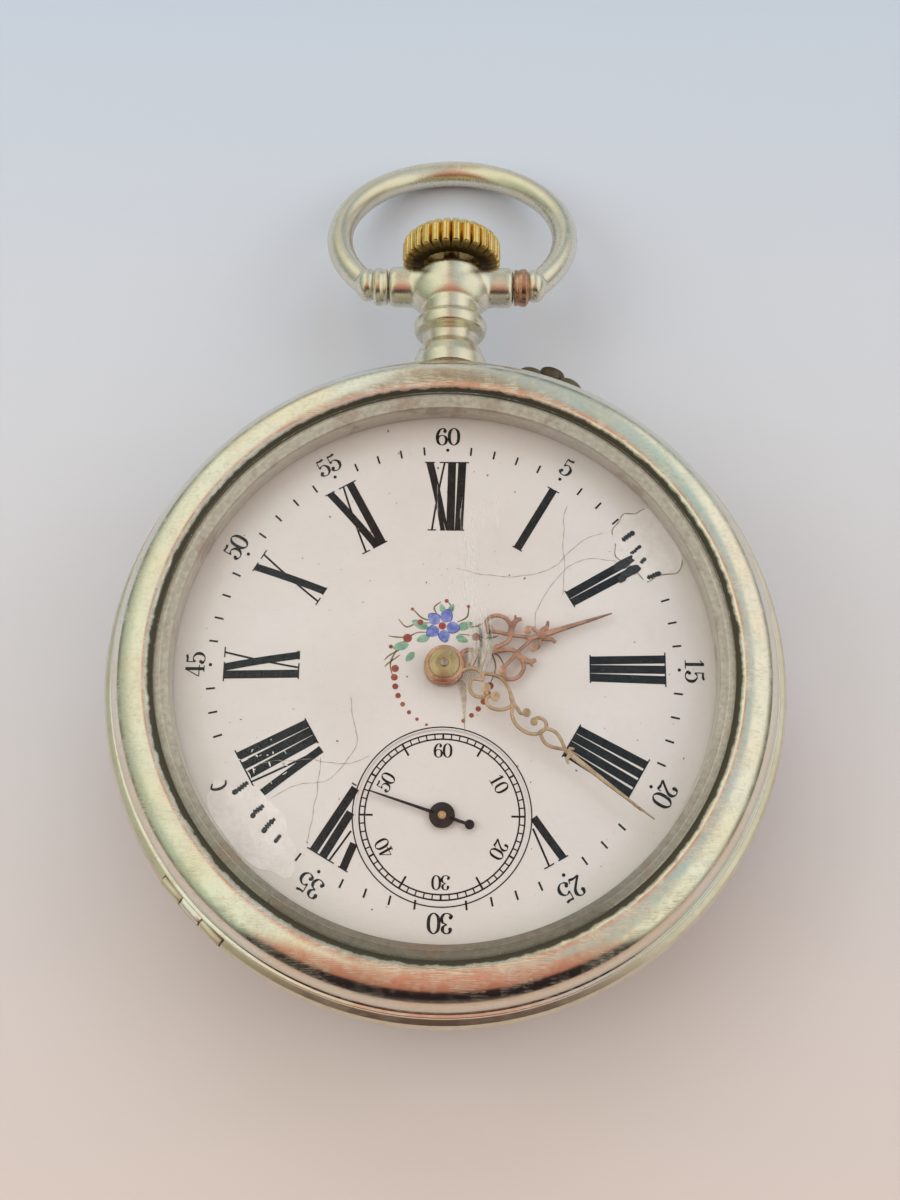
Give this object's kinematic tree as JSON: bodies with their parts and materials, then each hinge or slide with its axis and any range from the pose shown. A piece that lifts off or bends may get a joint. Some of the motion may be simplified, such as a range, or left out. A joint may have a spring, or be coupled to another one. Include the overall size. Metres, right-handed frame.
{
  "type": "pocket watch",
  "caption": "Open-face pocket watch with small seconds, fluted winding crown, swinging bow, and hinged bezel, back and dust cover over a geared movement.",
  "frame": {"origin": "middle of the back cover's flat land, on the table", "axes": "+Z through the dial, +Y toward 12 o'clock and the crown, +X toward 3 o'clock"},
  "size_m": [0.05, 0.0735, 0.0139],
  "materials": {
    "nickel_silver": "satin nickel silver with fine wear",
    "dust_cover": "polished nickel silver",
    "gilt_brass": "satin gilt",
    "copper": "bare reddish brass",
    "dark_steel": "darkened steel",
    "steel": "polished steel",
    "blued_steel": "blued",
    "ruby": "polished ruby",
    "enamel": "gloss white enamel",
    "glass": "clear",
    "rose_gold": "polished rose gilt"
  },
  "bodies": {
    "case": {"case_middle": "nickel_silver", "pendant": "nickel_silver", "pin_guard": "dark_steel", "pin_spring": "steel", "bezel_hinge_pin": "steel", "back_hinge_pin": "steel", "cuvette_hinge_pin": "steel", "case_screws": "steel", "dial": "enamel", "dial_feet": "gilt_brass", "main_plate": "gilt_brass", "barrel_bridge": "gilt_brass", "train_bridge": "gilt_brass", "pallet_cock": "gilt_brass", "balance_cock": "gilt_brass", "regulator": "steel", "jewels": "ruby", "bridge_screws": "steel", "crown_wheel_core": "steel", "click_spring": "steel", "click_screws": "steel"},
    "bezel": {"bezel": "nickel_silver", "crystal": "glass"},
    "back_cover": {"back_cover": "nickel_silver"},
    "cuvette": {"cuvette": "dust_cover"},
    "bow": {"bow": "nickel_silver", "bow_collars": "copper"},
    "crown": {"crown": "gilt_brass", "winding_stem": "steel", "winding_pinion": "steel"},
    "clutch_wheel": {"clutch_wheel": "steel"},
    "pin_button": {"pin_button": "dark_steel"},
    "setting_lever": {"setting_lever": "steel"},
    "crown_wheel": {"crown_wheel": "steel"},
    "ratchet_wheel": {"ratchet_wheel": "steel", "ratchet_screw": "steel", "barrel_arbor": "steel"},
    "click": {"click": "steel"},
    "minute_hand": {"minute_hand": "rose_gold", "cannon_pinion": "gilt_brass"},
    "hour_hand": {"hour_hand": "rose_gold", "hour_wheel": "gilt_brass"},
    "minute_wheel": {"minute_wheel": "gilt_brass"},
    "setting_wheel": {"setting_wheel": "steel"},
    "centre_wheel": {"centre_wheel": "gilt_brass"},
    "barrel": {"mainspring_barrel": "gilt_brass", "barrel_cover": "gilt_brass", "mainspring": "steel"},
    "third_wheel": {"third_wheel": "gilt_brass"},
    "seconds_hand": {"fourth_wheel": "gilt_brass", "seconds_hand": "dark_steel"},
    "escape_wheel": {"escape_wheel": "steel"},
    "pallet_fork": {"pallet_fork": "steel", "pallet_stones": "ruby"},
    "balance": {"balance_wheel": "gilt_brass", "balance_screws": "gilt_brass", "balance_staff": "steel", "roller": "steel", "hairspring": "blued_steel"}
  },
  "joints": [
    {"name": "bezel_open", "type": "hinge", "parent": "case", "child": "bezel", "pos_m": [-0.01727, -0.01727, 0.00922], "axis": [0.7071, -0.7071, 0], "range_deg": [0, 90]},
    {"name": "back_cover_open", "type": "hinge", "parent": "case", "child": "back_cover", "pos_m": [-0.01729, -0.01729, 0.00495], "axis": [-0.7071, 0.7071, 0], "range_deg": [0, 110]},
    {"name": "cuvette_open", "type": "hinge", "parent": "case", "child": "cuvette", "pos_m": [-0.0158, -0.0158, 0.00485], "axis": [-0.7071, 0.7071, 0], "range_deg": [0, 77]},
    {"name": "bow_swing", "type": "hinge", "parent": "case", "child": "bow", "pos_m": [0, 0.0324, 0.0076], "axis": [1, 0, 0], "range_deg": [-115, 160]},
    {"name": "crown_turn", "type": "hinge", "parent": "case", "child": "crown", "pos_m": [0, 0.036, 0.0076], "axis": [0, 1, 0], "continuous": true},
    {"name": "clutch_slide", "type": "slide", "parent": "crown", "child": "clutch_wheel", "axis": [0, 1, 0], "range_m": [-0.0003, 0]},
    {"name": "pin_push", "type": "slide", "parent": "case", "child": "pin_button", "axis": [-0.3123, -0.95, 0], "range_m": [0, 0.0007], "stiffness_N_per_m": 200},
    {"name": "setting_lever_rock", "type": "hinge", "parent": "case", "child": "setting_lever", "pos_m": [0.00798, 0.01501, 0.0059], "axis": [0, 0, 1], "range_deg": [0, 10]},
    {"name": "crown_wheel_turn", "type": "hinge", "parent": "case", "child": "crown_wheel", "pos_m": [0, 0.0122, 0.004], "axis": [0, 0, 1], "continuous": true},
    {"name": "ratchet_turn", "type": "hinge", "parent": "case", "child": "ratchet_wheel", "pos_m": [-0.00763, 0.00477, 0.004], "axis": [0, 0, 1], "continuous": true},
    {"name": "click_rock", "type": "hinge", "parent": "case", "child": "click", "pos_m": [-0.01534, 0.00118, 0.004], "axis": [0, 0, 1], "range_deg": [0, 12]},
    {"name": "minute_hand_turn", "type": "hinge", "parent": "case", "child": "minute_hand", "pos_m": [0, 0, 0.0116], "axis": [0, 0, 1], "continuous": true},
    {"name": "hour_hand_turn", "type": "hinge", "parent": "case", "child": "hour_hand", "pos_m": [0, 0, 0.0111], "axis": [0, 0, 1], "continuous": true},
    {"name": "minute_wheel_turn", "type": "hinge", "parent": "case", "child": "minute_wheel", "pos_m": [0.00203, 0.00381, 0.0092], "axis": [0, 0, 1], "continuous": true},
    {"name": "setting_wheel_turn", "type": "hinge", "parent": "case", "child": "setting_wheel", "pos_m": [0.00333, 0.00868, 0.0092], "axis": [0, 0, 1], "continuous": true},
    {"name": "centre_wheel_turn", "type": "hinge", "parent": "case", "child": "centre_wheel", "pos_m": [0, 0, 0.0078], "axis": [0, 0, 1], "continuous": true},
    {"name": "barrel_turn", "type": "hinge", "parent": "case", "child": "barrel", "pos_m": [-0.00763, 0.00477, 0.0065], "axis": [0, 0, 1], "continuous": true},
    {"name": "third_wheel_turn", "type": "hinge", "parent": "case", "child": "third_wheel", "pos_m": [-0.00345, -0.0058, 0.0044], "axis": [0, 0, 1], "continuous": true},
    {"name": "seconds_hand_turn", "type": "hinge", "parent": "case", "child": "seconds_hand", "pos_m": [0, -0.01065, 0.01078], "axis": [0, 0, 1], "continuous": true},
    {"name": "escape_wheel_turn", "type": "hinge", "parent": "case", "child": "escape_wheel", "pos_m": [0.0047, -0.00894, 0.00495], "axis": [0, 0, 1], "continuous": true},
    {"name": "pallet_rock", "type": "hinge", "parent": "case", "child": "pallet_fork", "pos_m": [0.00823, -0.00647, 0.00495], "axis": [0, 0, 1], "range_deg": [-5, 5]},
    {"name": "balance_swing", "type": "hinge", "parent": "case", "child": "balance", "pos_m": [0.01121, -0.00221, 0.0036], "axis": [0, 0, 1], "range_deg": [-150, 150], "deforming": ["hairspring"]}
  ],
  "couplings": [
    {"joint": "cuvette_open", "follows": "back_cover_open", "ratio": 0.7},
    {"joint": "clutch_slide", "follows": "pin_push", "ratio": -0.4},
    {"joint": "setting_lever_rock", "follows": "pin_push", "rad_per_m": 199.47},
    {"joint": "crown_wheel_turn", "follows": "crown_turn", "ratio": 0.53846},
    {"joint": "ratchet_turn", "follows": "crown_turn", "ratio": -0.31111},
    {"joint": "hour_hand_turn", "follows": "minute_hand_turn", "ratio": 0.083333},
    {"joint": "minute_wheel_turn", "follows": "minute_hand_turn", "ratio": -0.33333},
    {"joint": "setting_wheel_turn", "follows": "minute_hand_turn", "ratio": 0.6},
    {"joint": "centre_wheel_turn", "follows": "minute_hand_turn", "ratio": 1},
    {"joint": "barrel_turn", "follows": "minute_hand_turn", "ratio": -0.125},
    {"joint": "third_wheel_turn", "follows": "minute_hand_turn", "ratio": -8},
    {"joint": "seconds_hand_turn", "follows": "minute_hand_turn", "ratio": 60},
    {"joint": "escape_wheel_turn", "follows": "minute_hand_turn", "ratio": -600}
  ]
}
